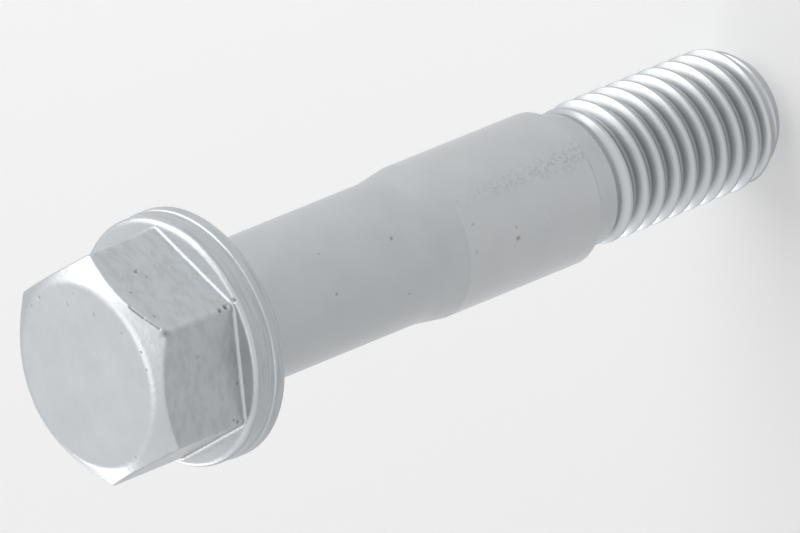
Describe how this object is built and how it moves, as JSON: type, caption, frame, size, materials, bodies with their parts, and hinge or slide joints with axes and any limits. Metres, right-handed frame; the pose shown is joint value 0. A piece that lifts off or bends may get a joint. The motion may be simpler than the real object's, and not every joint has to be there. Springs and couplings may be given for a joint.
{
  "type": "flanged hex bolt",
  "caption": "Hexagon-head bolt with an integral round flange, a plain shank that widens to a fitted collar, and a rolled metric thread. It clamps and locates joined parts.",
  "frame": {"origin": "centre of the flat threaded end, on which the bolt stands", "axes": "+Z along the bolt's axis from the threaded end to the head, +X towards a corner of the hexagon"},
  "size_m": [0.0208, 0.0208, 0.0717],
  "materials": {
    "zinc_steel": "satin bright zinc plate on forged steel"
  },
  "bodies": {
    "root": {"bolt": "zinc_steel"}
  },
  "joints": []
}
